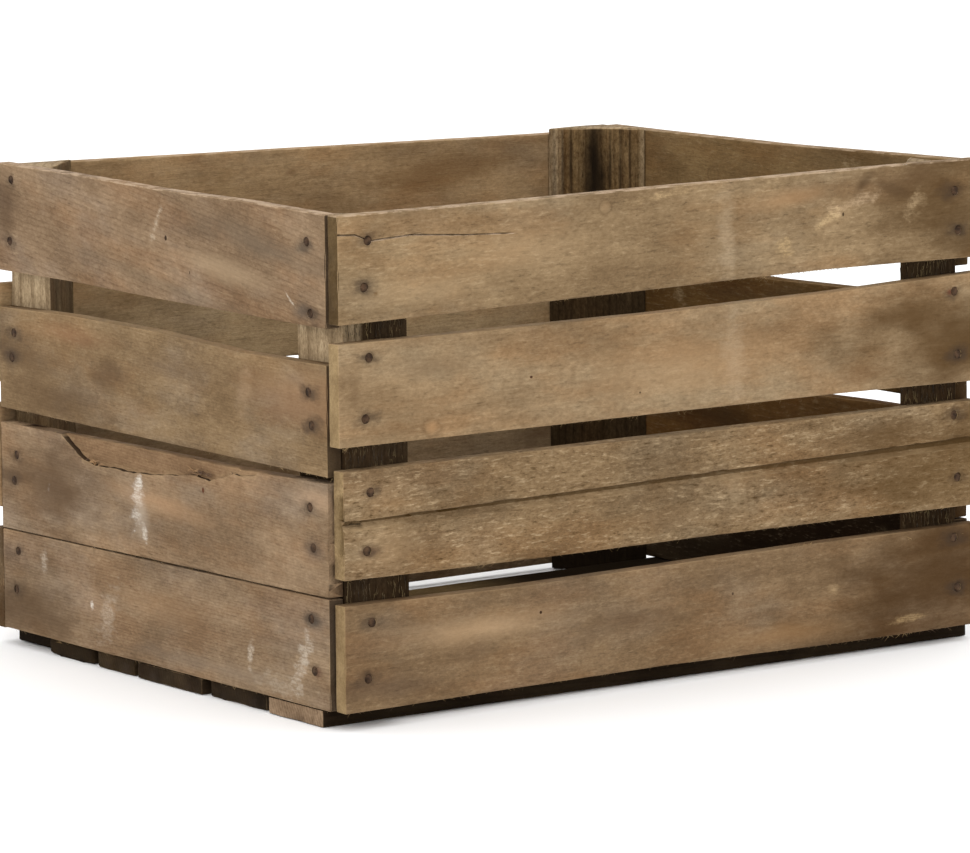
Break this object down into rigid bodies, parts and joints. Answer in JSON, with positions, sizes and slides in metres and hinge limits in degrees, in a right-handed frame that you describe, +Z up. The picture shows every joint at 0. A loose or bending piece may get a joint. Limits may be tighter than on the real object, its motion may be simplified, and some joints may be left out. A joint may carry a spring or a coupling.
{
  "type": "wooden crate",
  "caption": "Open slatted wooden crate with triangular corner posts, nailed wall slats and a boarded floor.",
  "frame": {"origin": "on the ground under the middle of the crate", "axes": "+X along the long walls, towards the unbroken end; +Y from the front wall to the back wall; +Z up"},
  "size_m": [0.5, 0.394, 0.3125],
  "materials": {
    "front_slat_wood": "weathered sawn softwood, brown",
    "end_slat_wood": "weathered planed softwood, greyish brown",
    "back_slat_wood": "weathered sawn softwood, darker brown",
    "post_wood": "rough sawn softwood, dark stained",
    "floor_wood": "weathered sawn softwood, dirty",
    "nail_iron": "rusted dark wire nails"
  },
  "bodies": {
    "root": {"post_front_left": "post_wood", "post_front_right": "post_wood", "post_back_left": "post_wood", "post_back_right": "post_wood", "front_slat_1": "front_slat_wood", "front_slat_2": "front_slat_wood", "front_slat_3": "front_slat_wood", "front_slat_4": "front_slat_wood", "back_slat_1": "back_slat_wood", "back_slat_2": "back_slat_wood", "back_slat_3": "back_slat_wood", "back_slat_4": "back_slat_wood", "left_slat_1": "end_slat_wood", "left_slat_2": "end_slat_wood", "left_slat_3": "end_slat_wood", "left_slat_4": "end_slat_wood", "right_slat_1": "end_slat_wood", "right_slat_2": "end_slat_wood", "right_slat_3": "end_slat_wood", "right_slat_4": "end_slat_wood", "floor_board_1": "floor_wood", "floor_board_2": "floor_wood", "floor_board_3": "floor_wood", "floor_board_4": "floor_wood", "floor_board_5": "floor_wood", "front_nails": "nail_iron", "back_nails": "nail_iron", "left_nails": "nail_iron", "right_nails": "nail_iron", "floor_nails": "nail_iron"}
  },
  "joints": []
}
